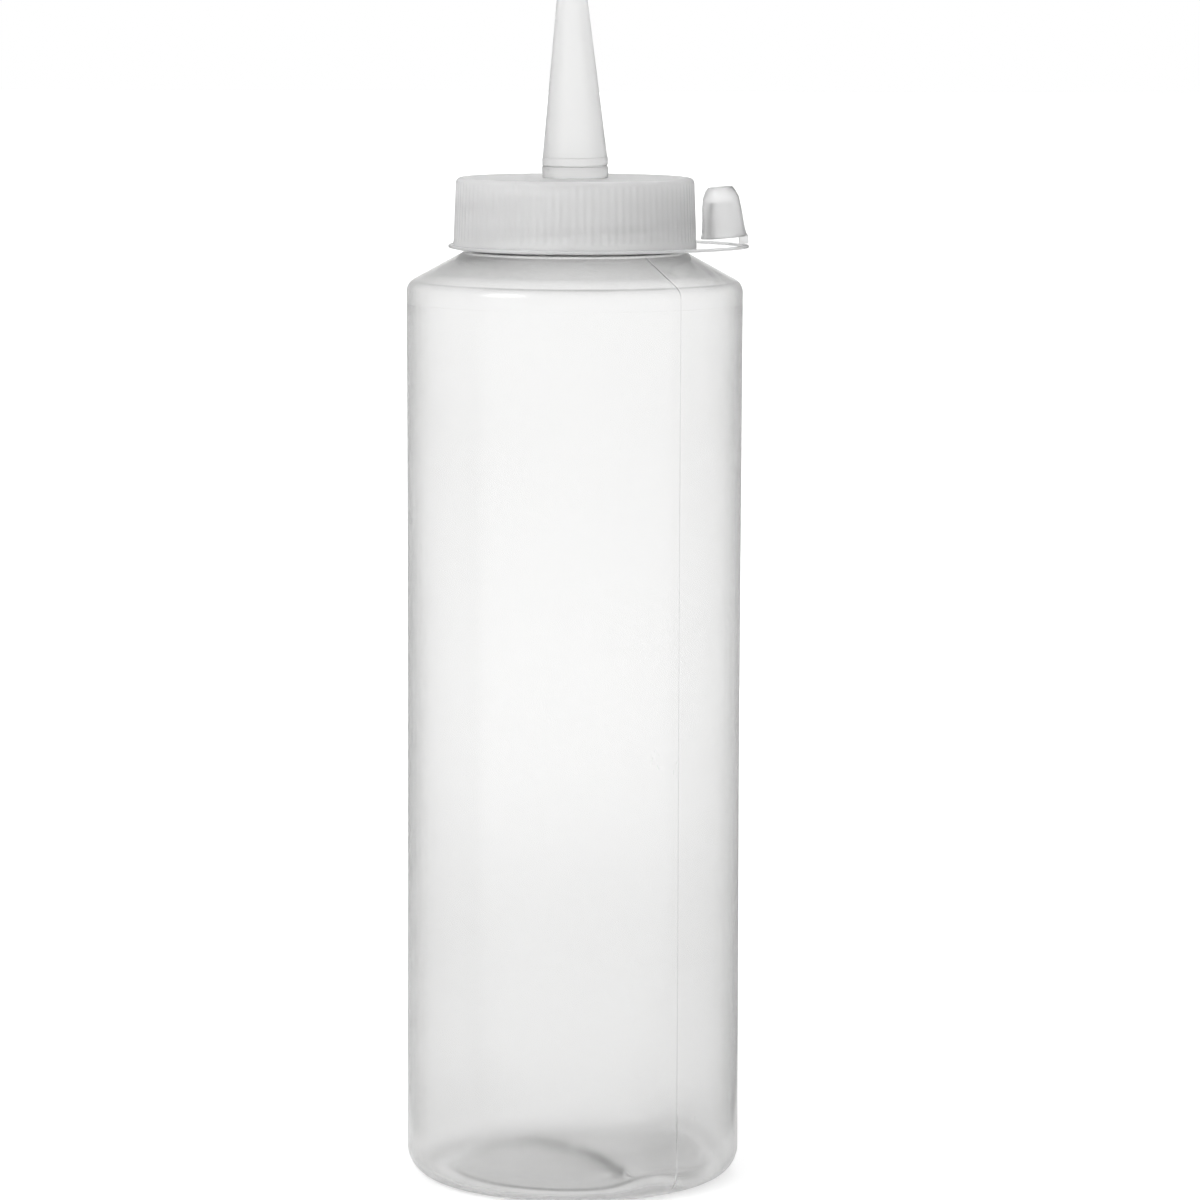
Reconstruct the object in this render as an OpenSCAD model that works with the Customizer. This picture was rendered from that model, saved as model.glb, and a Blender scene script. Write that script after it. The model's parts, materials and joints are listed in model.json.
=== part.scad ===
// Squeeze bottle for sauce: a blow-moulded bottle, a screw closure with a tapered nozzle,
// and a tip cap that a soft loop strap keeps on the closure.
// The bottle stands on z = 0 with its axis on Z. The tip cap is parked towards +X.

/* [Bottle] */
// Diameter of the straight wall
bottle_d = 55; // [50:0.5:62]
// Height at which the shoulder corner starts
wall_top_z = 146.6; // [120:0.1:150]
// Thickness of the blown wall
wall_t = 1; // [0.8:0.1:1.4]
// Radius of the heel
heel_r = 4.5; // [3.5:0.1:6]
// Radius of the shoulder corner
shoulder_corner_r = 2.2; // [1.8:0.1:2.6]
// Fall of the shoulder below level, in degrees
shoulder_fall = 28.8; // [27:0.1:30]
// Inner radius of the ring that the bottle stands on
ring_in_r = 19.5; // [17:0.5:21]
// Height of the hollow under the base
base_hollow_h = 2.4; // [1.5:0.1:3.5]
// Angle of the mould's parting plane about Z, in degrees
parting_angle = -52; // [-90:1:90]

/* [Neck finish] */
// Outer radius of the neck at the thread's root
neck_r = 16.9; // [16.7:0.05:17]
// Radius of the neck's mouth
mouth_r = 15.4; // [14.8:0.1:15.7]
// Height of the neck's rim above the closure's lower edge
rim_above_edge = 9.6; // [9.4:0.1:9.6]
// Rise of the thread in one turn
thread_pitch = 4.2; // [4.1:0.05:4.3]
// Height of a thread off its wall
thread_h = 1; // [0.9:0.05:1.05]

/* [Closure] */
// Radius of the skirt at its lower edge
skirt_r = 19.9; // [19.7:0.05:20]
// Radius of the skirt at the deck
deck_r = 19.45; // [19.3:0.05:19.6]
// Height of the closure from its lower edge to the top of the deck
closure_h = 11.6; // [11.6:0.1:11.8]
// Thickness of the deck
deck_t = 1.5; // [1.4:0.1:1.5]
// Height of the seal washer
washer_t = 0.5; // [0.4:0.1:0.5]

/* [Nozzle] */
// Height of the nozzle above the deck
nozzle_h = 38.9; // [38:0.1:39.5]
// Radius of the ring at the nozzle's foot
foot_r = 5.4; // [5.2:0.05:5.6]
// Outer radius of the nozzle's tip
tip_r = 1.4; // [1.3:0.05:1.5]
// Radius of the hole in the tip
outlet_r = 0.85; // [0.6:0.05:0.9]
// Lean of the soft cone towards -X, in degrees
nozzle_lean = 1.2; // [0:0.1:1.5]

/* [Strap and tip cap] */
// Thickness of the strap
strap_t = 0.5; // [0.4:0.05:0.55]
// Distance from the closure's axis to the strap's far end
strap_reach = 28.45; // [28.3:0.05:28.6]
// Height of the tip cap
tip_cap_h = 8.3; // [8.1:0.1:8.7]
// Radius of the tip cap's rim
tip_cap_r = 3.8; // [3.75:0.05:3.85]
// Depth of the tip cap's hollow
tip_hollow_h = 5.7; // [5.5:0.1:5.8]
// Lean of the parked tip cap towards the closure, in degrees
park_lean = 5; // [3:0.5:6]

/* [Hidden] */
$fn = 96;
eps = 0.01;

bottle_r = bottle_d / 2;
ring_out_r = bottle_r - heel_r;
arc_steps = 8;
neck_ledge_r = neck_r + 1.4;
rim_bevel = 0.3;
// Scar of the tail that the closing mould cut off, across the hollow base
scar_w = 0.9;
scar_z = 0.9;
scar_h = 1.6;
scar_end = 4;

// Shoulder: a corner arc, then a cone whose outward normal is corner_n
corner_x = bottle_r - shoulder_corner_r;
corner_n = [sin(shoulder_fall), cos(shoulder_fall)];
function shoulder_z(r, inset = 0) =
    (corner_n * [corner_x, wall_top_z] + shoulder_corner_r - inset - corner_n[0] * r) / corner_n[1];
ledge_z = shoulder_z(neck_ledge_r);

// Closure, placed just above the shoulder's ledge
edge_gap = 0.57;
edge_z = ledge_z + edge_gap;
thread_clear = 0.35;
deck_z = edge_z + closure_h;
rim_z = edge_z + rim_above_edge;
deck_under_z = deck_z - deck_t;
skirt_in_r = neck_r + thread_h + thread_clear;
deck_corner_r = 0.9;
washer_gap = 0.25;
washer_in_r = 14.6;
washer_z = rim_z;

// Threads: the closure's runs just under the neck's
thread_root_w = 1.6;
thread_crest_w = 0.8;
thread_bed = 0.35;
thread_step = 10;
thread_fade = 40;
thread_end = 0.05;
neck_thread_start = 2.2;
neck_thread_z = edge_z + neck_thread_start;
neck_thread_turn = 530;
cap_thread_drop = 1.75;
cap_thread_from = 120;
cap_thread_to = 600;

// Nozzle: a flange under the deck, a shank through it, a foot ring on it and the leaning cone
flange_r = 7.5;
flange_t = 1.1;
shank_r = 4.9;
shank_gap = 0.1;
foot_h = 1.9;
collar_h = 1.4;
collar_in = 0.05;
collar_bevel = 0.3;
cone_in = 0.1;
inlet_r = 4.1;
outlet_h = 4;
bore_start = 0.4;
bore_step = 0.2;
tip_round = 0.25;
lean_z = deck_z + foot_h;
cone_h = nozzle_h - foot_h;

// Strap: a flat loop round the skirt, hinged at -X, with its far end under the tip cap
strap_side_w = 1.3;
strap_root_w = 0.5;
strap_end_w = 0.65;
strap_side_gap = 0.7;
strap_nose = 0.6;
strap_lift = 0.2;
strap_z = edge_z + strap_lift;
strap_step = 3.75;
pivot_z = strap_z + strap_t / 2;
end_in = 0.25;
end_x = strap_reach - end_in;
tab_w = 6;
tab_gap = 0.1;
tab_bed = 0.3;

// Tip cap, in its own frame: the middle of its rim at the origin, closed end up
tip_pivot = [3.7, -1.75];
seat_gap = 0.1;
hollow_clear = 0.17;
hollow_r = tip_r + tip_hollow_h * (foot_r - cone_in - tip_r) / (cone_h - collar_h) + hollow_clear;
hollow_top_r = tip_r + hollow_clear;
web_w = 3.6;
web_in = 1.3;
web_clear = 0.45;
web_out = 0.15;
web_bed = 0.6;
// Side of the tip cap from its rim up, as [distance inside the rim, height]
rim_soft = 0.15;
flare = [[0, 0.35], [0.25, 1.3], [0.42, 2.8]];
// The same from the closed end down, as [distance inside the rim, depth]
crown = [[0.6, 3.4], [0.85, 1.75], [1.3, 0.7], [1.75, 0]];

// Where the strap's end must stand once the tip cap sits on the nozzle's tip
seat_from_lean = cone_h + seat_gap - tip_hollow_h;
seat_end = [-seat_from_lean * sin(nozzle_lean), lean_z + seat_from_lean * cos(nozzle_lean)]
    + turned(tip_pivot, nozzle_lean);
// The hinge line is as far from the seated end as from the parked one
hinge_x = (seat_end[0] ^ 2 + (seat_end[1] - pivot_z) ^ 2 - end_x ^ 2) / (2 * (seat_end[0] - end_x));
swing_to_seat = acos((seat_end[0] - hinge_x) / (end_x - hinge_x));
tilt_ratio = -(swing_to_seat + park_lean - nozzle_lean) / swing_to_seat;
strap_root_x = -hinge_x - 0.1;

// A point in the XZ plane turned about -Y, so that +X goes up
function turned(p, a) = [p[0] * cos(a) - p[1] * sin(a), p[0] * sin(a) + p[1] * cos(a)];

// Points of an arc about c, from angle a to angle b
function arc(c, r, a, b, n = arc_steps) =
    [for (i = [0:n]) c + r * [cos(a + (b - a) * i / n), sin(a + (b - a) * i / n)]];

// Hollow under the base, as heights over the radius, from the middle outwards
function base_hollow(lift) =
    [for (i = [0:arc_steps]) let (u = i / arc_steps)
        [ring_in_r * u, lift + base_hollow_h * (1 - u * u)]];

// One ridge of a screw thread round Z. base_r lies inside the wall that carries it,
// and the ridge stands from wall_r by height, outwards or, if negative, inwards.
module thread(base_r, wall_r, height, z0, from, to) {
    n = ceil((to - from) / thread_step);
    function fade(i) = max(thread_end, min(1, i * thread_step / thread_fade, (n - i) * thread_step / thread_fade));
    points = [for (i = [0:n])
        let (
            a = from + (to - from) * i / n,
            z = z0 + thread_pitch * a / 360,
            r = wall_r + height * fade(i)
        )
        for (p = [
            [base_r, -thread_root_w / 2],
            [r, -thread_crest_w / 2],
            [r, thread_crest_w / 2],
            [base_r, thread_root_w / 2]
        ])
        [p[0] * cos(a), p[0] * sin(a), z + p[1]]
    ];
    sides = [for (i = [0:n - 1]) for (k = [0:3])
        let (j = (k + 1) % 4)
        each [[4 * i + k, 4 * i + 4 + k, 4 * i + j], [4 * i + j, 4 * i + 4 + k, 4 * i + 4 + j]]
    ];
    caps = [[0, 1, 2], [0, 2, 3], [4 * n + 2, 4 * n + 1, 4 * n], [4 * n + 3, 4 * n + 2, 4 * n]];
    outward = [for (f = concat(sides, caps)) height > 0 ? [f[2], f[1], f[0]] : f];
    polyhedron(points, outward, convexity = 4);
}

module bottle_outline() {
    polygon(concat(
        base_hollow(0),
        arc([ring_out_r, heel_r], heel_r, -90, 0),
        arc([corner_x, wall_top_z], shoulder_corner_r, 0, 90 - shoulder_fall),
        [
            [neck_ledge_r, ledge_z],
            [neck_r, ledge_z],
            [neck_r, rim_z - rim_bevel],
            [neck_r - rim_bevel, rim_z],
            [0, rim_z]
        ]
    ));
}

module bottle_inside() {
    polygon(concat(
        base_hollow(wall_t),
        arc([ring_out_r, heel_r], heel_r - wall_t, -90, 0),
        arc([corner_x, wall_top_z], shoulder_corner_r - wall_t, 0, 90 - shoulder_fall),
        [
            [mouth_r, shoulder_z(mouth_r, wall_t)],
            [mouth_r, rim_z + 1],
            [0, rim_z + 1]
        ]
    ));
}

// Weld line that the closing mould leaves across the hollow under the base
module pinch_off() {
    rotate([0, 0, parting_angle])
        translate([scar_end - ring_in_r, -scar_w / 2, scar_z])
            cube([2 * (ring_in_r - scar_end), scar_w, scar_h]);
}

module bottle() {
    color([0.93, 0.93, 0.92]) {
        difference() {
            rotate_extrude() bottle_outline();
            rotate_extrude() bottle_inside();
        }
        pinch_off();
        thread(neck_r - thread_bed, neck_r, thread_h, neck_thread_z, 0, neck_thread_turn);
    }
}

module seal_washer() {
    color([0.86, 0.87, 0.86])
        translate([0, 0, washer_z])
            difference() {
                cylinder(r = skirt_in_r - washer_gap, h = washer_t);
                translate([0, 0, -1]) cylinder(r = washer_in_r, h = washer_t + 2);
            }
}

module screw_cap() {
    color([0.85, 0.86, 0.86]) {
        difference() {
            rotate_extrude()
                polygon(concat(
                    [[0, edge_z], [skirt_r, edge_z]],
                    arc([deck_r - deck_corner_r, deck_z - deck_corner_r], deck_corner_r, 0, 90),
                    [[0, deck_z]]
                ));
            translate([0, 0, edge_z - 1])
                cylinder(r = skirt_in_r, h = deck_under_z - edge_z + 1);
            translate([0, 0, deck_under_z - 1])
                cylinder(r = shank_r + shank_gap, h = deck_t + 2);
        }
        thread(
            skirt_in_r + thread_bed, skirt_in_r, -thread_h,
            neck_thread_z - cap_thread_drop, cap_thread_from, cap_thread_to
        );
        hinge_tab();
    }
}

// Root of the living hinge, on the skirt's lower edge at -X. It follows the strap's inner edge.
module hinge_tab() {
    difference() {
        translate([0, 0, strap_z])
            linear_extrude(strap_t)
                intersection() {
                    loop(
                        strap_root_x - strap_root_w - tab_gap,
                        skirt_r + strap_side_gap,
                        strap_reach - strap_end_w
                    );
                    translate([-strap_root_x, -tab_w / 2]) square([strap_root_x - skirt_r + 1, tab_w]);
                }
        translate([0, 0, strap_z - 1]) cylinder(r = skirt_r - tab_bed, h = strap_t + 2);
    }
}

module nozzle() {
    color([0.92, 0.92, 0.91])
        difference() {
            union() {
                translate([0, 0, deck_under_z - flange_t]) cylinder(r = flange_r, h = flange_t);
                translate([0, 0, deck_under_z]) cylinder(r = shank_r, h = deck_t);
                translate([0, 0, deck_z]) cylinder(r = foot_r, h = foot_h);
                translate([0, 0, lean_z])
                    rotate([0, -nozzle_lean, 0])
                        rotate_extrude()
                            polygon([
                                [0, -collar_bevel],
                                [foot_r - collar_bevel, -collar_bevel],
                                [foot_r - collar_in, 0],
                                [foot_r - collar_in, collar_h],
                                [foot_r - cone_in, collar_h],
                                [tip_r, cone_h - tip_round],
                                [tip_r - tip_round, cone_h],
                                [0, cone_h]
                            ]);
            }
            translate([0, 0, deck_under_z - flange_t - 1])
                cylinder(r = inlet_r, h = flange_t + deck_t + foot_h + 1);
            translate([0, 0, lean_z])
                rotate([0, -nozzle_lean, 0])
                    rotate_extrude()
                        polygon([
                            [0, -bore_start],
                            [inlet_r - bore_step, -bore_start],
                            [inlet_r - bore_step, 0],
                            [outlet_r, cone_h - outlet_h],
                            [outlet_r, cone_h + 1],
                            [0, cone_h + 1]
                        ]);
        }
}

// Outline of the strap's loop: half an oval on the hinge side, a blunt nose on the other
module loop(root, side, reach) {
    polygon([for (a = [0:strap_step:360 - strap_step])
        let (
            c = cos(a),
            x = c < 0 ? root * c : reach * c,
            nose = c < 0 ? 0.5 : 0.5 + (strap_nose - 0.5) * c
        )
        [x, sign(sin(a)) * side * (1 - c * c) ^ nose]
    ]);
}

module strap() {
    color([0.84, 0.85, 0.85])
        translate([0, 0, strap_z])
            linear_extrude(strap_t)
                difference() {
                    loop(strap_root_x, skirt_r + strap_side_gap + strap_side_w, strap_reach);
                    loop(
                        strap_root_x - strap_root_w,
                        skirt_r + strap_side_gap,
                        strap_reach - strap_end_w
                    );
                }
}

module tip_cap_form() {
    difference() {
        union() {
            rotate_extrude()
                polygon(concat(
                    [[0, 0], [tip_cap_r - rim_soft, 0], [tip_cap_r, rim_soft]],
                    [for (p = flare) [tip_cap_r - p[0], p[1]]],
                    [for (p = crown) [tip_cap_r - p[0], tip_cap_h - p[1]]],
                    [[0, tip_cap_h]]
                ));
            // Web that joins the rim to the strap's end
            translate([tip_pivot[0] - web_in, -web_w / 2, tip_pivot[1] + web_clear])
                cube([web_in + web_out, web_w, web_bed - tip_pivot[1] - web_clear]);
        }
        translate([0, 0, -1])
            cylinder(r = hollow_r, h = 1 + eps);
        cylinder(r1 = hollow_r, r2 = hollow_top_r, h = tip_hollow_h);
    }
}

module tip_cap() {
    color([0.90, 0.90, 0.89])
        translate([end_x, 0, pivot_z])
            rotate([0, -park_lean, 0])
                translate([-tip_pivot[0], 0, -tip_pivot[1]])
                    tip_cap_form();
}

echo(hinge_x = hinge_x, pivot_z = pivot_z, swing = swing_to_seat, ratio = tilt_ratio);
echo(edge_z = edge_z, deck_z = deck_z, rim_z = rim_z, top_z = deck_z + nozzle_h);

bottle();
seal_washer();
screw_cap();
nozzle();
strap();
tip_cap();
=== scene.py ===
"""Looks of a squeeze sauce bottle: a milky blown bottle, a ribbed screw closure with a tapered
nozzle, and a tip cap on a loop strap. Metres; the bottle stands on z = 0 with its axis on Z."""
import json
import math

import bmesh
import bpy
from mathutils import Matrix, Vector


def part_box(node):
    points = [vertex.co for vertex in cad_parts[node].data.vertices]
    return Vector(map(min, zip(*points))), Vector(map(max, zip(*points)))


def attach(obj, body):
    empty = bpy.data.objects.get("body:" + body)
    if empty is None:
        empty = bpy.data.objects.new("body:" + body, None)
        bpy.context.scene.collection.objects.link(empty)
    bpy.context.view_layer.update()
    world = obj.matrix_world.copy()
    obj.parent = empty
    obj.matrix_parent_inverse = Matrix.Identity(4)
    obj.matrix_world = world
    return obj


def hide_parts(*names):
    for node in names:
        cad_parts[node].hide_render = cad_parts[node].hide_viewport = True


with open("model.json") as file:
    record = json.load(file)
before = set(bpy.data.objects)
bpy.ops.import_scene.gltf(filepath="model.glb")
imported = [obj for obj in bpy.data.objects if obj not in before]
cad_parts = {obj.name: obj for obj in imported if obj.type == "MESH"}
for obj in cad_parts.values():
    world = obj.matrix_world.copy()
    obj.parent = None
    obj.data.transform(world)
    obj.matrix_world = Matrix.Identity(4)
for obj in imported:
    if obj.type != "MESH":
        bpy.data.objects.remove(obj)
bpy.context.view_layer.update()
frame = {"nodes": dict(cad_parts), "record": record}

MM = 0.001

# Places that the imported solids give, in millimetres
def corner_mm(node, which):
    return [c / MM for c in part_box(node)[which]]


LOW, HIGH = 0, 1
BOTTLE_R = corner_mm("bottle", HIGH)[0]
RIM_Z = corner_mm("bottle", HIGH)[2]
EDGE_Z = corner_mm("screw_cap", LOW)[2]
DECK_Z = corner_mm("screw_cap", HIGH)[2]
STRAP_Z = corner_mm("strap", LOW)[2]
STRAP_T = corner_mm("strap", HIGH)[2] - STRAP_Z
STRAP_REACH = corner_mm("strap", HIGH)[0]
STRAP_ROOT = -corner_mm("strap", LOW)[0]
STRAP_SIDE = corner_mm("strap", HIGH)[1]
FLANGE_Z = corner_mm("nozzle", LOW)[2]
JOINTS = {j["name"]: j for j in frame["record"]["behaviour"]["joints"]}
TIP_HINGE = [c / MM for c in JOINTS["tip_cap_tilt"]["pos_m"]]

# Bottle, as the solids have it
WALL_T = 1.0
# The wall blows thinner at the shoulder's corner
CORNER_T = 0.5
THIN_REACH = 16.0
HEEL_R = 4.5
WALL_TOP_Z = 146.6
SHOULDER_R = 2.2
SHOULDER_FALL = math.radians(28.8)
RING_IN_R = 19.5
HOLLOW_H = 2.4
NECK_R = 16.9
MOUTH_R = 15.4
LEDGE_R = 18.3
PARTING = math.radians(-52)
MOULD_LINE_Z = 144.7

# Closure
SKIRT_R = 19.9
DECK_R = 19.45
SKIRT_IN_R = 18.25
DECK_T = 1.5
DECK_ROUND = 0.85
# Smooth band over the skirt's lower edge, where the ribs end
BAND_H = 1.25
RIBS = 96
RIB_DEPTH = 0.12
PITCH = 4.2
THREAD_H = 1.0
# Start of the neck's ridge over the closure's lower edge, and how far the skirt's ridge runs under it
THREAD_START = 2.2
THREAD_STEP_DOWN = 1.75
THREAD_ROOT = 0.12

# Nozzle
FOOT_R = 5.4
FOOT_H = 1.9
COLLAR_H = 1.4
TIP_R = 1.4
OUTLET_R = 0.85
INLET_R = 4.1
FLANGE_R = 7.5
SHANK_R = 4.9
NOZZLE_H = 38.9
LEAN = math.radians(1.2)

# Strap and tip cap
STRAP_SIDE_W = 1.3
STRAP_ROOT_W = 0.5
STRAP_END_W = 0.65
STRAP_NOSE = 0.6
TIP_CAP_R = 3.8
TIP_CAP_H = 8.3
TIP_HOLLOW_H = 5.7
TIP_HOLLOW_R = 2.19
TIP_HOLLOW_TOP_R = 1.57
TIP_PIVOT = (3.7, -1.75)
PARK_LEAN = math.radians(5)


# Mesh helpers

def arc(cx, cz, r, start, end, steps):
    """Points (radius, height) of an arc, angles in degrees from the +radius direction."""
    angles = [math.radians(start + (end - start) * i / steps) for i in range(steps + 1)]
    return [(cx + r * math.cos(a), cz + r * math.sin(a)) for a in angles]


def line(a, b, steps):
    """Points after a, up to and with b."""
    return [tuple(p + (q - p) * i / steps for p, q in zip(a, b)) for i in range(1, steps + 1)]


def to_object(bm, name, sharp_degrees=35):
    """Turns a closed bmesh in millimetres into a smooth object in metres."""
    bmesh.ops.remove_doubles(bm, verts=bm.verts, dist=1e-4)
    bmesh.ops.scale(bm, vec=(MM, MM, MM), verts=bm.verts)
    bmesh.ops.recalc_face_normals(bm, faces=bm.faces)
    mesh = bpy.data.meshes.new(name)
    bm.to_mesh(mesh)
    bm.free()
    mesh.polygons.foreach_set("use_smooth", [True] * len(mesh.polygons))
    mesh.set_sharp_from_angle(angle=math.radians(sharp_degrees))
    obj = bpy.data.objects.new(name, mesh)
    bpy.context.scene.collection.objects.link(obj)
    return obj


def lathe(bm, profile, angles, shape=None):
    """Adds the surface that a profile of (radius, height) points sweeps round Z.
    shape(radius, height, angle, index) may return a changed radius and height."""
    rings = []
    for index, (r, z) in enumerate(profile):
        if r < 1e-6:
            rings.append([bm.verts.new((0, 0, z))])
            continue
        ring = []
        for a in angles:
            rr, zz = shape(r, z, a, index) if shape else (r, z)
            ring.append(bm.verts.new((rr * math.cos(a), rr * math.sin(a), zz)))
        rings.append(ring)
    for low, high in zip(rings, rings[1:]):
        n = max(len(low), len(high))
        for i in range(n):
            j = (i + 1) % n
            corners = [low[i % len(low)], low[j % len(low)], high[j % len(high)], high[i % len(high)]]
            face = [v for k, v in enumerate(corners) if v not in corners[:k]]
            if len(face) > 2:
                bm.faces.new(face)


def even_angles(count):
    return [2 * math.pi * i / count for i in range(count)]


def sweep(bm, sections):
    """Adds a closed skin over sections, each a list of the same number of points."""
    rings = [[bm.verts.new(p) for p in section] for section in sections]
    n = len(rings[0])
    for a, b in zip(rings, rings[1:]):
        for i in range(n):
            j = (i + 1) % n
            bm.faces.new((a[i], a[j], b[j], b[i]))
    bm.faces.new(rings[0])
    bm.faces.new(rings[-1])


def thread_ridge(bm, base_r, wall_r, height, z0, start, end, step=6, fade=40):
    """Adds one ridge of a screw thread, from angle start to end in degrees."""
    count = math.ceil((end - start) / step)
    sections = []
    for i in range(count + 1):
        a = start + (end - start) * i / count
        full = max(0.04, min(1, i * step / fade, (count - i) * step / fade))
        crest = wall_r + height * full
        shoulder = wall_r + height * full * 0.8
        z = z0 + PITCH * a / 360
        lower_flank = [(base_r, -0.8), (shoulder, -0.5), (crest, -0.3)]
        outline = lower_flank + [(r, -dz) for r, dz in reversed(lower_flank)]
        turn = math.radians(a)
        sections.append([(r * math.cos(turn), r * math.sin(turn), z + dz) for r, dz in outline])
    sweep(bm, sections)


def rounded_block(bm, centre, size, radius, matrix=Matrix()):
    """Adds a block with rounded edges."""
    made = bmesh.ops.create_cube(bm, size=1)
    verts = made["verts"]
    bmesh.ops.scale(bm, vec=size, verts=verts)
    bmesh.ops.translate(bm, vec=centre, verts=verts)
    bmesh.ops.transform(bm, matrix=matrix, verts=verts)
    edges = list({e for v in verts for e in v.link_edges})
    bmesh.ops.bevel(bm, geom=edges, offset=radius, segments=3, affect="EDGES", profile=0.5)


# Bottle

def shoulder_z(r, inset=0.0):
    """Height of the shoulder's cone at a radius, for the skin that lies inset under it."""
    nr, nz = math.sin(SHOULDER_FALL), math.cos(SHOULDER_FALL)
    reach = nr * (BOTTLE_R - SHOULDER_R) + nz * WALL_TOP_Z + SHOULDER_R - inset
    return (reach - nr * r) / nz


def bottle_profile():
    ring_out = BOTTLE_R - HEEL_R
    corner_x = BOTTLE_R - SHOULDER_R
    lean = 90 - math.degrees(SHOULDER_FALL)
    ledge_z = shoulder_z(LEDGE_R)
    hollow = [(RING_IN_R * i / 14, HOLLOW_H * (1 - (i / 14) ** 2)) for i in range(14)]
    outer = hollow + arc(RING_IN_R + 0.5, 0.5, 0.5, 250, 270, 3) + [(21.2, 0)]
    outer += arc(ring_out, HEEL_R, HEEL_R, -90, 0, 14)
    outer += line(outer[-1], (BOTTLE_R, MOULD_LINE_Z - 0.25), 36)
    outer += [
        (BOTTLE_R - 0.01, MOULD_LINE_Z - 0.12), (BOTTLE_R - 0.035, MOULD_LINE_Z),
        (BOTTLE_R - 0.01, MOULD_LINE_Z + 0.12), (BOTTLE_R, MOULD_LINE_Z + 0.25),
    ]
    outer += arc(corner_x, WALL_TOP_Z, SHOULDER_R, 0, lean, 12)
    outer += line(outer[-1], (LEDGE_R + 0.4, shoulder_z(LEDGE_R + 0.4)), 8)
    outer += [(LEDGE_R, ledge_z + 0.02), (NECK_R + 0.5, ledge_z + 0.03)]
    outer += arc(NECK_R + 0.35, ledge_z + 0.38, 0.35, 270, 180, 4)
    outer += line(outer[-1], (NECK_R, RIM_Z - 0.4), 6)
    rim = arc(NECK_R - 0.4, RIM_Z - 0.4, 0.4, 10, 90, 5) + arc(MOUTH_R + 0.3, RIM_Z - 0.3, 0.3, 90, 180, 4)
    inner = rim + [(MOUTH_R, shoulder_z(MOUTH_R, WALL_T) + 0.4)]
    inner += line(
        (MOUTH_R, shoulder_z(MOUTH_R, WALL_T)), (corner_x - 1, shoulder_z(corner_x - 1, CORNER_T)), 12,
    )
    inner += arc(corner_x, WALL_TOP_Z, SHOULDER_R - CORNER_T, lean, 0, 12)
    inner += line(inner[-1], (BOTTLE_R - WALL_T, WALL_TOP_Z - THIN_REACH), 14)
    inner += line(inner[-1], (BOTTLE_R - WALL_T, HEEL_R + 12), 28)
    inner += line(inner[-1], (BOTTLE_R - WALL_T, HEEL_R), 10)
    inner += arc(ring_out, HEEL_R, HEEL_R - WALL_T, -5, -90, 12)
    inner += [(21.4, WALL_T), (21.0, WALL_T - 0.4), (20.4, WALL_T - 0.4), (20.0, WALL_T)]
    inner += [(RING_IN_R * i / 14, WALL_T + HOLLOW_H * (1 - (i / 14) ** 2)) for i in range(14, -1, -1)]
    return outer + inner, len(outer)


def angle_gap(a, b):
    return abs((a - b + math.pi) % (2 * math.pi) - math.pi)


def bottle_angles():
    """Even columns, with extra ones where the two parting lines run."""
    offsets = [math.radians(d) for d in (-0.6, -0.32, -0.14, 0, 0.14, 0.32, 0.6)]
    seams = [PARTING, PARTING + math.pi]
    even = [a for a in even_angles(240) if min(angle_gap(a, s) for s in seams) > math.radians(1)]
    extra = [(s + o) % (2 * math.pi) for s in seams for o in offsets]
    return sorted(even + extra)


SEAM_HALF = math.radians(0.32)
SEAM_RISE = 0.09
WALL_DRAW = 0.10
# The blown wall is thicker at the heel, where the parting plane meets it
CORNER_LUMP = 1.7
# Bead that the closed mould leaves across the inside of the base
BEAD_H = 0.9
BEAD_HALF = 0.5
SCAR_Z = 1.62
SCAR_SIZE = (30, 0.75, 1.3)


def bottle_shape(outer_count):
    def shape(r, z, a, index):
        seam = min(angle_gap(a, PARTING), angle_gap(a, PARTING + math.pi))
        if index < outer_count:
            if r > LEDGE_R and z > 0.6 and seam < SEAM_HALF:
                r += SEAM_RISE * (1 - seam / SEAM_HALF)
            # The wall draws in a little as it cools
            if HEEL_R < z < WALL_TOP_Z:
                high = math.sin(math.pi * (z - HEEL_R) / (WALL_TOP_Z - HEEL_R))
                r -= WALL_DRAW * high * (1 + 0.5 * math.sin(2 * a + 0.6) + 0.3 * math.sin(3 * a + z / 31))
            return r, z
        if r > 15 and z < 30:
            lump = CORNER_LUMP * math.exp(-(seam / 0.30) ** 2) * math.exp(-((z - 5) / 6) ** 2)
            r -= lump
            z += 0.5 * lump if z < 5 else 0
        if r < RING_IN_R and z < 5:
            aside = r * abs(math.sin(a - PARTING))
            z += BEAD_H * math.exp(-(aside / BEAD_HALF) ** 2) * (1 - (r / RING_IN_R) ** 4)
        return r, z
    return shape


def make_bottle():
    bm = bmesh.new()
    profile, outer_count = bottle_profile()
    lathe(bm, profile, bottle_angles(), bottle_shape(outer_count))
    thread_ridge(bm, NECK_R - THREAD_ROOT, NECK_R, THREAD_H, EDGE_Z + THREAD_START, 0, 530)
    turn = Matrix.Rotation(PARTING, 4, "Z")
    # Scar under the base of the tail that was cut off along the weld
    rounded_block(bm, (0, 0, SCAR_Z), SCAR_SIZE, 0.2, turn)
    return to_object(bm, "bottle_shell")


# Closure

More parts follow.
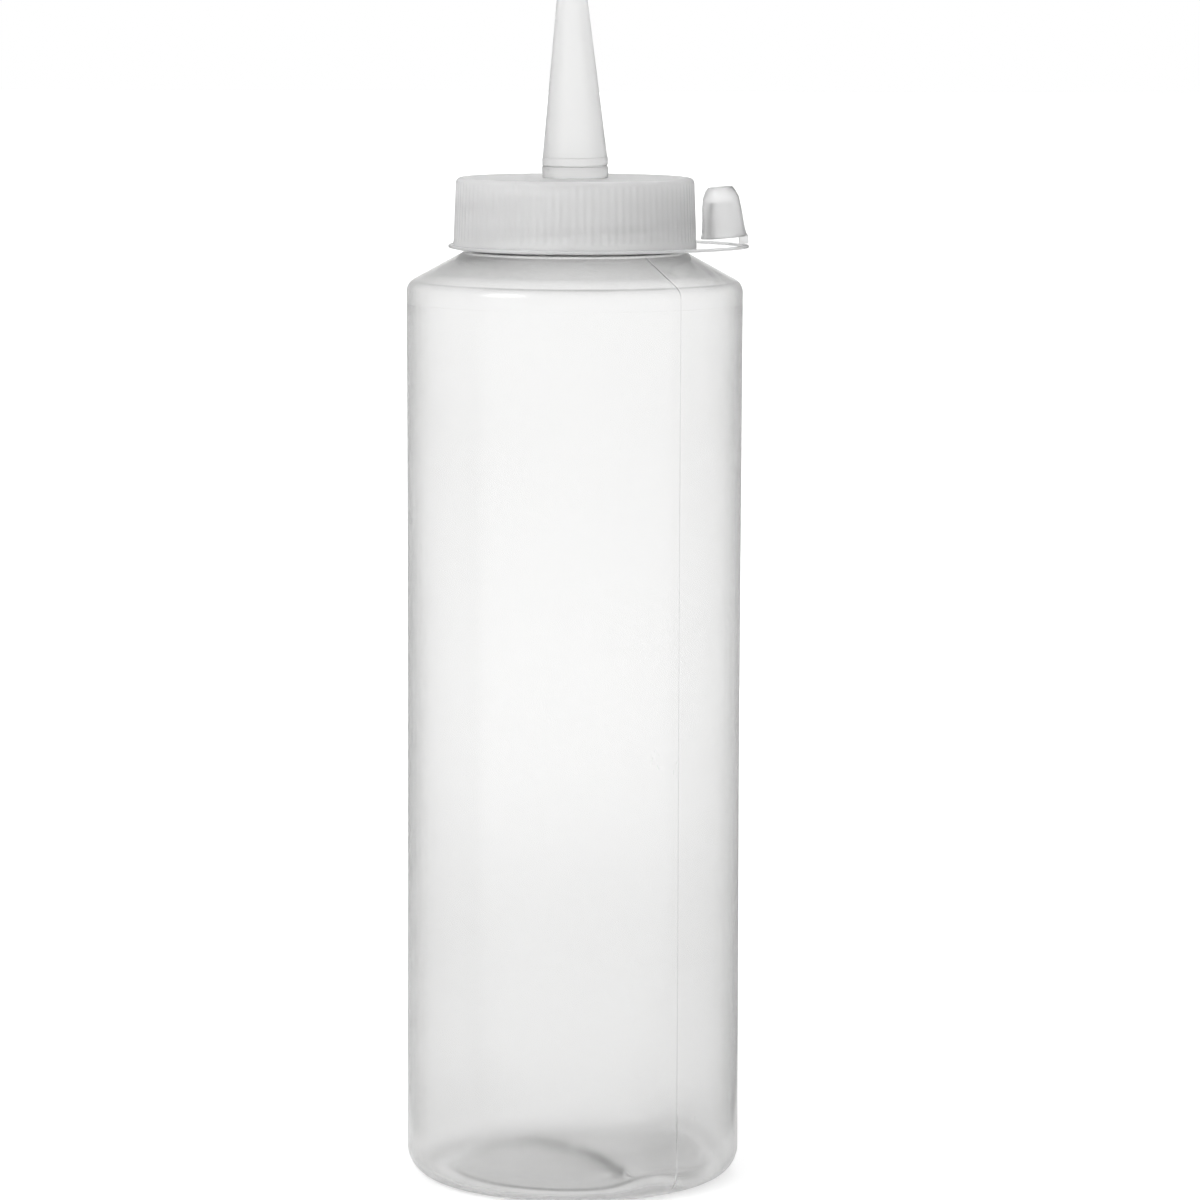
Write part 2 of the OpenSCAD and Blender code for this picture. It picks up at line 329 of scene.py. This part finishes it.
def closure_profile():
    z0, z1 = EDGE_Z, DECK_Z
    under = z1 - DECK_T
    taper = (SKIRT_R - DECK_R) / (z1 - z0)
    outer = [(SKIRT_IN_R, z0 + 0.25), (SKIRT_IN_R + 0.25, z0), (SKIRT_R - 0.15, z0)]
    outer += [(SKIRT_R, z0 + 0.12), (SKIRT_R - 0.02, z0 + 1.15), (SKIRT_R - 0.06, z0 + BAND_H)]
    outer += line((SKIRT_R - 0.06, z0 + BAND_H), (DECK_R + taper * DECK_ROUND, z1 - DECK_ROUND), 30)
    outer += arc(DECK_R - DECK_ROUND, z1 - DECK_ROUND, DECK_ROUND, 10, 90, 8)
    outer += line(outer[-1], (FOOT_R + 0.6, z1), 10)
    outer += [(SHANK_R + 0.1, z1), (SHANK_R + 0.1, under)]
    outer += line(outer[-1], (SKIRT_IN_R - 0.4, under), 8)
    outer += arc(SKIRT_IN_R - 0.4, under - 0.4, 0.4, 80, 0, 4)
    outer += line(outer[-1], (SKIRT_IN_R, z0 + 0.25), 12)
    return outer


def skirt_ribs_tree():
    """Geometry nodes that press the grip's grooves between the ribs into a round skirt."""
    tree = bpy.data.node_groups.new("skirt_ribs", "GeometryNodeTree")
    face = tree.interface
    face.new_socket("Geometry", in_out="INPUT", socket_type="NodeSocketGeometry")
    for name in ("Count", "Depth", "Inner radius", "Bottom", "Top", "Fade"):
        face.new_socket(name, in_out="INPUT", socket_type="NodeSocketFloat")
    face.new_socket("Material", in_out="INPUT", socket_type="NodeSocketMaterial")
    face.new_socket("Geometry", in_out="OUTPUT", socket_type="NodeSocketGeometry")
    nodes, links = tree.nodes, tree.links
    given = nodes.new("NodeGroupInput")

    def math_node(operation, *values):
        node = nodes.new("ShaderNodeMath")
        node.operation = operation
        for socket, value in zip(node.inputs, values):
            if isinstance(value, (int, float)):
                socket.default_value = value
            else:
                links.new(value, socket)
        return node.outputs[0]

    def ramp(value, low, high):
        node = nodes.new("ShaderNodeMapRange")
        node.interpolation_type = "SMOOTHSTEP"
        links.new(value, node.inputs["Value"])
        links.new(low, node.inputs["From Min"])
        links.new(high, node.inputs["From Max"])
        return node.outputs["Result"]

    place = nodes.new("GeometryNodeInputPosition")
    parts = nodes.new("ShaderNodeSeparateXYZ")
    links.new(place.outputs[0], parts.inputs[0])
    x, y, z = parts.outputs
    angle = math_node("ARCTAN2", y, x)
    wave = math_node("COSINE", math_node("MULTIPLY", angle, given.outputs["Count"]))
    groove = math_node("POWER", math_node("MULTIPLY_ADD", wave, -0.5, 0.5), 0.7)
    radius = math_node("SQRT", math_node("ADD", math_node("MULTIPLY", x, x), math_node("MULTIPLY", y, y)))
    outside = math_node("GREATER_THAN", radius, given.outputs["Inner radius"])
    above = ramp(z, given.outputs["Bottom"], math_node("ADD", given.outputs["Bottom"], given.outputs["Fade"]))
    below = ramp(z, given.outputs["Top"], math_node("SUBTRACT", given.outputs["Top"], given.outputs["Fade"]))
    mask = math_node("MULTIPLY", math_node("MULTIPLY", above, below), outside)
    depth = math_node("MULTIPLY", math_node("MULTIPLY", groove, mask), given.outputs["Depth"])
    share = math_node("DIVIDE", math_node("MULTIPLY", depth, -1), radius)
    offset = nodes.new("ShaderNodeCombineXYZ")
    links.new(math_node("MULTIPLY", x, share), offset.inputs[0])
    links.new(math_node("MULTIPLY", y, share), offset.inputs[1])
    move = nodes.new("GeometryNodeSetPosition")
    links.new(given.outputs["Geometry"], move.inputs["Geometry"])
    links.new(offset.outputs[0], move.inputs["Offset"])
    real = nodes.new("GeometryNodeRealizeInstances")
    links.new(move.outputs[0], real.inputs[0])
    paint = nodes.new("GeometryNodeSetMaterial")
    links.new(real.outputs[0], paint.inputs["Geometry"])
    links.new(given.outputs["Material"], paint.inputs["Material"])
    result = nodes.new("NodeGroupOutput")
    links.new(paint.outputs[0], result.inputs[0])
    return tree


def apply_tree(obj, tree, values):
    """Runs a geometry tree on an object and keeps the result as its plain mesh."""
    modifier = obj.modifiers.new(tree.name, "NODES")
    modifier.node_group = tree
    for item in tree.interface.items_tree:
        if item.item_type == "SOCKET" and item.in_out == "INPUT" and item.name in values:
            modifier[item.identifier] = values[item.name]
    graph = bpy.context.evaluated_depsgraph_get()
    mesh = bpy.data.meshes.new_from_object(obj.evaluated_get(graph), depsgraph=graph)
    obj.modifiers.remove(modifier)
    old = obj.data
    obj.data = mesh
    bpy.data.meshes.remove(old)
    mesh.name = obj.name


def make_closure(material):
    bm = bmesh.new()
    lathe(bm, closure_profile(), even_angles(RIBS * 6))
    low = EDGE_Z + THREAD_START - THREAD_STEP_DOWN
    thread_ridge(bm, SKIRT_IN_R + THREAD_ROOT, SKIRT_IN_R, -THREAD_H, low, 120, 600)
    obj = to_object(bm, "closure_shell", 50)
    apply_tree(obj, skirt_ribs_tree(), {
        "Count": float(RIBS), "Depth": RIB_DEPTH * MM, "Inner radius": (SKIRT_IN_R + 0.5) * MM,
        "Bottom": (EDGE_Z + 1.3) * MM, "Top": (DECK_Z - 0.5) * MM, "Fade": 0.5 * MM,
        "Material": material,
    })
    return obj


def make_hinge_tab():
    """Root of the strap's living hinge on the skirt."""
    bm = bmesh.new()
    reach = STRAP_ROOT - STRAP_ROOT_W - 0.1
    middle = (reach + SKIRT_R - 0.2) / 2
    rounded_block(
        bm, (-middle, 0, STRAP_Z + STRAP_T / 2),
        (reach - SKIRT_R + 0.2, 6, STRAP_T), 0.08,
    )
    return to_object(bm, "hinge_tab")


def make_gusset():
    """Small three-cornered gusset low on the skirt's front."""
    bm = bmesh.new()
    low, high, wide = EDGE_Z + 0.05, EDGE_Z + 1.15, 1.25
    corners = [(-wide, low), (wide, low), (-0.1, high)]
    depths = (-SKIRT_R + 0.3, -SKIRT_R - 0.28)
    sweep(bm, [[(x - 0.4, y, z) for x, z in corners] for y in depths])
    return to_object(bm, "gusset", 20)


# Nozzle

def make_nozzle():
    bm = bmesh.new()
    lean_z = DECK_Z + FOOT_H
    cone_h = NOZZLE_H - FOOT_H
    tilt = Matrix.Translation((0, 0, lean_z)) @ Matrix.Rotation(-LEAN, 4, "Y")
    under = DECK_Z - DECK_T
    outer = [(INLET_R, FLANGE_Z), (FLANGE_R - 0.2, FLANGE_Z), (FLANGE_R, FLANGE_Z + 0.2)]
    outer += [(FLANGE_R, under - 0.02), (SHANK_R, under - 0.02), (SHANK_R, DECK_Z + 0.01)]
    outer += arc(FOOT_R - 0.15, DECK_Z + 0.16, 0.15, 270, 360, 4)
    outer += arc(FOOT_R - 0.3, lean_z - 0.3, 0.3, 0, 70, 4)
    straight = len(outer)
    cone_low = FOOT_R - 0.1
    outer += [(FOOT_R - 0.18, lean_z + 0.02)]
    outer += arc(FOOT_R - 0.25, lean_z + 0.25, 0.2, 270, 360, 4)
    outer += arc(FOOT_R - 0.2, lean_z + COLLAR_H - 0.15, 0.15, 0, 60, 3)
    outer += line((cone_low - 0.03, lean_z + COLLAR_H + 0.05), (TIP_R + 0.03, lean_z + cone_h - 0.3), 26)
    outer += arc(TIP_R - 0.25, lean_z + cone_h - 0.25, 0.25, 10, 90, 5)
    outer += arc(OUTLET_R + 0.15, lean_z + cone_h - 0.15, 0.15, 90, 180, 3)
    outer += line(outer[-1], (OUTLET_R, lean_z + cone_h - 4), 3)
    outer += line(outer[-1], (INLET_R - 0.2, lean_z), 20)
    leaned = len(outer)
    outer += [(INLET_R, lean_z - 0.5), (INLET_R, FLANGE_Z)]
    lathe(bm, outer, even_angles(96))
    count = 96
    for index, vert in enumerate(bm.verts):
        if straight * count <= index < leaned * count:
            local = vert.co - Vector((0, 0, lean_z))
            vert.co = tilt @ local
    return to_object(bm, "nozzle_cone", 40)


# Strap and tip cap

def loop_point(angle, root, side, reach):
    """A point of the strap's outline: half an oval at the hinge, a blunt nose at the tip cap."""
    c, s = math.cos(angle), math.sin(angle)
    power = 0.5 + max(0.0, (STRAP_NOSE - 0.5) * c)
    y = math.copysign(side * max(0.0, 1 - c * c) ** power, s) if abs(s) > 1e-9 else 0.0
    return Vector(((root if c < 0 else reach) * c, y))


def make_strap():
    bm = bmesh.new()
    count = 240
    rings = []
    for i in range(count):
        a = 2 * math.pi * i / count
        out = loop_point(a, STRAP_ROOT, STRAP_SIDE, STRAP_REACH)
        inn = loop_point(a, STRAP_ROOT - STRAP_ROOT_W, STRAP_SIDE - STRAP_SIDE_W, STRAP_REACH - STRAP_END_W)
        across = out - inn
        soft = 0.12 / max(across.length, 0.3)
        ring = []
        for share, height in (
            (0, 0.2), (soft, 0), (1 - soft, 0), (1, 0.2),
            (1, 0.8), (1 - soft, 1), (soft, 1), (0, 0.8),
        ):
            p = inn + across * share
            ring.append(bm.verts.new((p.x, p.y, STRAP_Z + STRAP_T * height)))
        rings.append(ring)
    for a, b in zip(rings, rings[1:] + rings[:1]):
        for i in range(8):
            j = (i + 1) % 8
            bm.faces.new((a[i], a[j], b[j], b[i]))
    return to_object(bm, "strap_loop", 50)


def tip_cap_profile():
    outer = [(TIP_HOLLOW_R, 0.12), (TIP_HOLLOW_R + 0.12, 0), (TIP_CAP_R - 0.12, 0)]
    outer += [(TIP_CAP_R, 0.1), (TIP_CAP_R, 0.3), (TIP_CAP_R - 0.09, 0.45), (TIP_CAP_R - 0.17, 0.8)]
    outer += [(TIP_CAP_R - 0.25, 1.3), (TIP_CAP_R - 0.34, 2.0), (TIP_CAP_R - 0.42, 2.8)]
    outer += line(outer[-1], (TIP_CAP_R - 0.6, TIP_CAP_H - 3.4), 4)
    outer += line(outer[-1], (TIP_CAP_R - 0.85, TIP_CAP_H - 1.75), 3)
    outer += line(outer[-1], (TIP_CAP_R - 1.3, TIP_CAP_H - 0.7), 2)
    outer += line(outer[-1], (TIP_CAP_R - 1.68, TIP_CAP_H - 0.12), 2)
    outer += [(TIP_CAP_R - 1.85, TIP_CAP_H), (0, TIP_CAP_H)]
    inner = [(0, TIP_HOLLOW_H)] + [(TIP_HOLLOW_TOP_R - 0.2, TIP_HOLLOW_H)]
    inner += line((TIP_HOLLOW_TOP_R, TIP_HOLLOW_H - 0.2), (TIP_HOLLOW_R, 0.12), 8)
    return outer, inner


def make_tip_cap():
    bm = bmesh.new()
    outer, inner = tip_cap_profile()
    lathe(bm, outer + inner, even_angles(72))
    x, z = TIP_PIVOT
    rounded_block(bm, (x - 0.55, 0, z / 2 + 0.4), (1.5, 3.6, -z - 0.3), 0.12)
    place = (
        Matrix.Translation((TIP_HINGE[0], 0, TIP_HINGE[2]))
        @ Matrix.Rotation(-PARK_LEAN, 4, "Y")
        @ Matrix.Translation((-x, 0, -z))
    )
    bmesh.ops.transform(bm, matrix=place, verts=bm.verts)
    return to_object(bm, "tip_cap_shell", 40)


# Materials

def new_group(name, inputs, outputs):
    tree = bpy.data.node_groups.new(name, "ShaderNodeTree")
    for label, kind, value in inputs:
        socket = tree.interface.new_socket(label, in_out="INPUT", socket_type=kind)
        if value is not None:
            socket.default_value = value
    for label, kind in outputs:
        tree.interface.new_socket(label, in_out="OUTPUT", socket_type=kind)
    return tree, tree.nodes.new("NodeGroupInput"), tree.nodes.new("NodeGroupOutput")


def noise(nodes, links, vector, scale, detail=3.0, rough=0.5):
    node = nodes.new("ShaderNodeTexNoise")
    node.inputs["Detail"].default_value = detail
    node.inputs["Roughness"].default_value = rough
    links.new(vector, node.inputs["Vector"])
    if isinstance(scale, (int, float)):
        node.inputs["Scale"].default_value = scale
    else:
        links.new(scale, node.inputs["Scale"])
    return node.outputs["Fac"]


def mix_math(nodes, links, operation, *values):
    node = nodes.new("ShaderNodeMath")
    node.operation = operation
    for socket, value in zip(node.inputs, values):
        if isinstance(value, (int, float)):
            socket.default_value = value
        else:
            links.new(value, socket)
    return node.outputs[0]


def moulded_skin():
    """Skin of a moulded wall: grain, slow waves and upright flow lines as one height, with masks for
    tiny nicks and for slow clouds."""
    tree, given, result = new_group(
        "moulded_skin",
        [
            ("Grain scale", "NodeSocketFloat", 900.0), ("Grain height", "NodeSocketFloat", 0.2),
            ("Wave scale", "NodeSocketFloat", 40.0), ("Wave height", "NodeSocketFloat", 0.5),
            ("Flow height", "NodeSocketFloat", 0.3), ("Nick amount", "NodeSocketFloat", 0.3),
        ],
        [("Height", "NodeSocketFloat"), ("Nicks", "NodeSocketFloat"), ("Cloud", "NodeSocketFloat")],
    )
    nodes, links = tree.nodes, tree.links
    place = nodes.new("ShaderNodeTexCoord").outputs["Object"]

    def stretched(scale, turn=(0.0, 0.0, 0.0)):
        mapping = nodes.new("ShaderNodeMapping")
        mapping.inputs["Scale"].default_value = scale
        mapping.inputs["Rotation"].default_value = turn
        links.new(place, mapping.inputs["Vector"])
        return mapping.outputs[0]

    def ramp(value, low, high):
        node = nodes.new("ShaderNodeMapRange")
        node.interpolation_type = "SMOOTHSTEP"
        node.inputs["From Min"].default_value = low
        node.inputs["From Max"].default_value = high
        links.new(value, node.inputs["Value"])
        return node.outputs[0]

    grain = noise(nodes, links, place, given.outputs["Grain scale"], 2.0)
    wave = noise(nodes, links, place, given.outputs["Wave scale"], 1.0)
    flow = noise(nodes, links, stretched((260.0, 260.0, 7.0)), 1.0, 2.0)
    cloud = noise(nodes, links, place, 45.0, 3.0)
    scratched = stretched((2600.0, 2600.0, 800.0), (0.3, 0.15, 0.0))
    nick = ramp(noise(nodes, links, scratched, 1.0, 0.0), 0.72, 0.80)
    patch = ramp(noise(nodes, links, place, 70.0, 1.0), 0.48, 0.66)
    nicks = mix_math(nodes, links, "MULTIPLY", nick, patch)
    nicks = mix_math(nodes, links, "MULTIPLY", nicks, given.outputs["Nick amount"])
    height = mix_math(nodes, links, "MULTIPLY", grain, given.outputs["Grain height"])
    height = mix_math(nodes, links, "MULTIPLY_ADD", wave, given.outputs["Wave height"], height)
    height = mix_math(nodes, links, "MULTIPLY_ADD", flow, given.outputs["Flow height"], height)
    links.new(height, result.inputs["Height"])
    links.new(nicks, result.inputs["Nicks"])
    links.new(cloud, result.inputs["Cloud"])
    return tree


SKIN = moulded_skin()


SKIN_RELIEF = 0.00002
WALL_DIM = (0.5, 0.5, 0.49, 1)


def milky_plastic(name, color, through, rough, density, skin):
    """Milky polyethylene: through is the share of light that passes, density how fast the wall dims it."""
    material = bpy.data.materials.new(name)
    material.use_nodes = True
    nodes, links = material.node_tree.nodes, material.node_tree.links
    shader = nodes["Principled BSDF"]
    shader.inputs["Transmission Weight"].default_value = through
    shader.inputs["IOR"].default_value = 1.5
    shader.inputs["Metallic"].default_value = 0.0
    shader.inputs["Specular IOR Level"].default_value = 0.5
    surface = nodes.new("ShaderNodeGroup")
    surface.node_tree = SKIN
    for label, value in skin.items():
        surface.inputs[label].default_value = value
    tone = nodes.new("ShaderNodeMapRange")
    tone.inputs["To Min"].default_value = 0.985
    tone.inputs["To Max"].default_value = 1.0
    links.new(surface.outputs["Cloud"], tone.inputs["Value"])
    tint = nodes.new("ShaderNodeMix")
    tint.data_type = "RGBA"
    tint.blend_type = "MULTIPLY"
    tint.inputs["Factor"].default_value = 1.0
    tint.inputs["A"].default_value = (*color, 1)
    links.new(tone.outputs[0], tint.inputs["B"])
    links.new(tint.outputs["Result"], shader.inputs["Base Color"])
    dull = mix_math(nodes, links, "MULTIPLY_ADD", surface.outputs["Cloud"], 0.1, rough - 0.05)
    dull = mix_math(nodes, links, "MULTIPLY_ADD", surface.outputs["Nicks"], 0.3, dull)
    links.new(dull, shader.inputs["Roughness"])
    relief = nodes.new("ShaderNodeBump")
    relief.inputs["Strength"].default_value = 1.0
    relief.inputs["Distance"].default_value = SKIN_RELIEF
    links.new(surface.outputs["Height"], relief.inputs["Height"])
    links.new(relief.outputs[0], shader.inputs["Normal"])
    if density:
        depth = nodes.new("ShaderNodeVolumeAbsorption")
        depth.inputs["Color"].default_value = WALL_DIM
        depth.inputs["Density"].default_value = density
        links.new(depth.outputs[0], nodes["Material Output"].inputs["Volume"])
    return material


def skin_values(grain, grain_height, wave, wave_height, flow_height, nick):
    return {
        "Grain scale": grain, "Grain height": grain_height, "Wave scale": wave, "Wave height": wave_height,
        "Flow height": flow_height, "Nick amount": nick,
    }


BLOWN = milky_plastic(
    "blown_polyethylene", color=(0.99, 0.99, 0.988), through=0.94, rough=0.17, density=36.0,
    skin=skin_values(1400.0, 0.15, wave=30.0, wave_height=1.0, flow_height=0.6, nick=0.3),
)
CLOSURE = milky_plastic(
    "moulded_closure", color=(0.99, 0.99, 0.99), through=0.6, rough=0.55, density=4.0,
    skin=skin_values(1100.0, 0.3, wave=90.0, wave_height=1.0, flow_height=0.3, nick=0.3),
)
SPOUT = milky_plastic(
    "moulded_nozzle", color=(0.993, 0.993, 0.991), through=0.93, rough=0.3, density=26.0,
    skin=skin_values(1500.0, 0.15, wave=60.0, wave_height=0.15, flow_height=0.05, nick=0.0),
)
THIN = milky_plastic(
    "moulded_strap", color=(0.99, 0.99, 0.99), through=0.8, rough=0.42, density=20.0,
    skin=skin_values(1500.0, 0.15, wave=150.0, wave_height=0.5, flow_height=0.2, nick=0.2),
)
FOAM = milky_plastic(
    "washer_foam", color=(0.86, 0.865, 0.86), through=0.0, rough=0.8, density=0.0,
    skin=skin_values(2200.0, 3.0, wave=300.0, wave_height=1.0, flow_height=0.0, nick=0.0),
)


# Putting the pieces on their bodies

def dress(obj, body, slot, material, *nodes):
    obj.data.materials.clear()
    obj.data.materials.append(material)
    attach(obj, body)
    if nodes:
        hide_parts(*nodes)


dress(make_bottle(), "bottle", "bottle", BLOWN, "bottle")
dress(make_closure(CLOSURE), "closure", "closure", CLOSURE, "screw_cap")
dress(make_hinge_tab(), "closure", "closure", CLOSURE)
dress(make_gusset(), "closure", "closure", CLOSURE)
dress(make_nozzle(), "closure", "nozzle", SPOUT, "nozzle")
dress(make_strap(), "strap", "strap", THIN, "strap")
dress(make_tip_cap(), "tip_cap", "tip_cap", THIN, "tip_cap")
for slot_holder in frame["nodes"]["seal_washer"].material_slots:
    slot_holder.material = FOAM


# Stage, light and camera

FLOOR_TONE = 0.8
FLOOR_HALF_M = 8.0
# The floor's own glow, which with the light on it makes white
FLOOR_GLOW_CAMERA = 0.5
FLOOR_GLOW_GLOSS = 0.3
WORLD_FILL = 1.0


def gloss_or_glass(nodes, links, path):
    """1 for the rays that gloss and glass send out, else 0."""
    return mix_math(nodes, links, "MAXIMUM", path["Is Glossy Ray"], path["Is Transmission Ray"])


def floor_material():
    """Pale floor: white where the camera, gloss and glass see it, with the shadow kept."""
    material = bpy.data.materials.new("pale_floor")
    material.use_nodes = True
    nodes, links = material.node_tree.nodes, material.node_tree.links
    shader = nodes["Principled BSDF"]
    shader.inputs["Base Color"].default_value = (FLOOR_TONE, FLOOR_TONE, FLOOR_TONE, 1)
    shader.inputs["Roughness"].default_value = 0.9
    path = nodes.new("ShaderNodeLightPath").outputs
    glow = mix_math(nodes, links, "MULTIPLY", gloss_or_glass(nodes, links, path), FLOOR_GLOW_GLOSS)
    glow = mix_math(nodes, links, "MULTIPLY_ADD", path["Is Camera Ray"], FLOOR_GLOW_CAMERA, glow)
    shader.inputs["Emission Color"].default_value = (1, 1, 1, 1)
    links.new(glow, shader.inputs["Emission Strength"])
    return material


def make_floor():
    bm = bmesh.new()
    bmesh.ops.create_grid(bm, x_segments=1, y_segments=1, size=FLOOR_HALF_M)
    mesh = bpy.data.meshes.new("floor")
    bm.to_mesh(mesh)
    bm.free()
    floor = bpy.data.objects.new("floor", mesh)
    bpy.context.scene.collection.objects.link(floor)
    mesh.materials.append(floor_material())


def make_world():
    world = bpy.data.worlds.new("studio")
    bpy.context.scene.world = world
    world.use_nodes = True
    nodes, links = world.node_tree.nodes, world.node_tree.links
    path = nodes.new("ShaderNodeLightPath").outputs
    seen = mix_math(nodes, links, "MAXIMUM", path["Is Camera Ray"], gloss_or_glass(nodes, links, path))
    strength = mix_math(nodes, links, "MULTIPLY_ADD", seen, 1 - WORLD_FILL, WORLD_FILL)
    ground = nodes["Background"]
    ground.inputs["Color"].default_value = (1, 1, 1, 1)
    links.new(strength, ground.inputs["Strength"])


# The side cards' ends as (x, y) on the right-hand side, and their heights
CARD_NEAR = (0.22, -0.1)
CARD_FAR = (0.075, 0.35)
FOOT_NEAR = (0.05, -0.1)
FOOT_FAR = (0.035, 0.35)
CARD_LOW = 0.001
CARD_HIGH = 0.5
LEFT_TONE = 0.85
RIGHT_TONE = 0.55


def grey_card(name, corners, tone, lights):
    """Grey card out of the picture that gloss shows; lights says whether it also colours plain light."""
    bm = bmesh.new()
    bm.faces.new([bm.verts.new(c) for c in corners])
    mesh = bpy.data.meshes.new(name)
    bm.to_mesh(mesh)
    bm.free()
    card = bpy.data.objects.new(name, mesh)
    bpy.context.scene.collection.objects.link(card)
    material = bpy.data.materials.new(name + "_grey")
    material.use_nodes = True
    shader = material.node_tree.nodes["Principled BSDF"]
    shader.inputs["Base Color"].default_value = (tone, tone, tone, 1)
    shader.inputs["Roughness"].default_value = 1.0
    mesh.materials.append(material)
    card.visible_camera = False
    card.visible_transmission = False
    card.visible_diffuse = lights
    card.visible_shadow = False


def side_cards(name, side, tone):
    """Upright card beside and behind the bottle, and one that lies at its foot."""
    near, far, near_in, far_in = [(x * side, y) for x, y in (CARD_NEAR, CARD_FAR, FOOT_NEAR, FOOT_FAR)]
    upright = [(*near, CARD_LOW), (*far, CARD_LOW), (*far, CARD_HIGH), (*near, CARD_HIGH)]
    lying = [(*p, CARD_LOW) for p in (near_in, far_in, far, near)]
    grey_card(name, upright, tone, True)
    grey_card(name + "_foot", lying, tone, False)


def soft_lamp(name, place, target, size, watts):
    lamp = bpy.data.lights.new(name, "AREA")
    lamp.shape = "DISK"
    lamp.size = size
    lamp.energy = watts
    obj = bpy.data.objects.new(name, lamp)
    obj.location = place
    obj.rotation_euler = (Vector(target) - Vector(place)).to_track_quat("-Z", "Y").to_euler()
    bpy.context.scene.collection.objects.link(obj)


LAMP_PLACE = (-0.7, -0.5, 0.7)
LAMP_TARGET = (0, 0, 0.1)
LAMP_SIZE = 0.5
LAMP_WATTS = 3.0
CAMERA_PLACE = (0.0, -0.85, 0.198)
CAMERA_TARGET = (0.00428, 0.0, 0.0957)
CAMERA_ROLL = math.radians(0.183)
FOCAL_MM = 155.9


def make_camera():
    camera = bpy.data.cameras.new("camera")
    camera.sensor_width = 36.0
    camera.sensor_fit = "HORIZONTAL"
    camera.lens = FOCAL_MM
    camera.clip_start = 0.01
    obj = bpy.data.objects.new("camera", camera)
    look = (Vector(CAMERA_TARGET) - Vector(CAMERA_PLACE)).to_track_quat("-Z", "Y").to_matrix().to_4x4()
    obj.matrix_world = Matrix.Translation(CAMERA_PLACE) @ look @ Matrix.Rotation(CAMERA_ROLL, 4, "Z")
    bpy.context.scene.collection.objects.link(obj)
    bpy.context.scene.camera = obj


make_floor()
make_world()
side_cards("left_card", -1, LEFT_TONE)
side_cards("right_card", 1, RIGHT_TONE)
soft_lamp("key", LAMP_PLACE, LAMP_TARGET, LAMP_SIZE, LAMP_WATTS)
make_camera()
bpy.context.scene.view_settings.view_transform = "Standard"
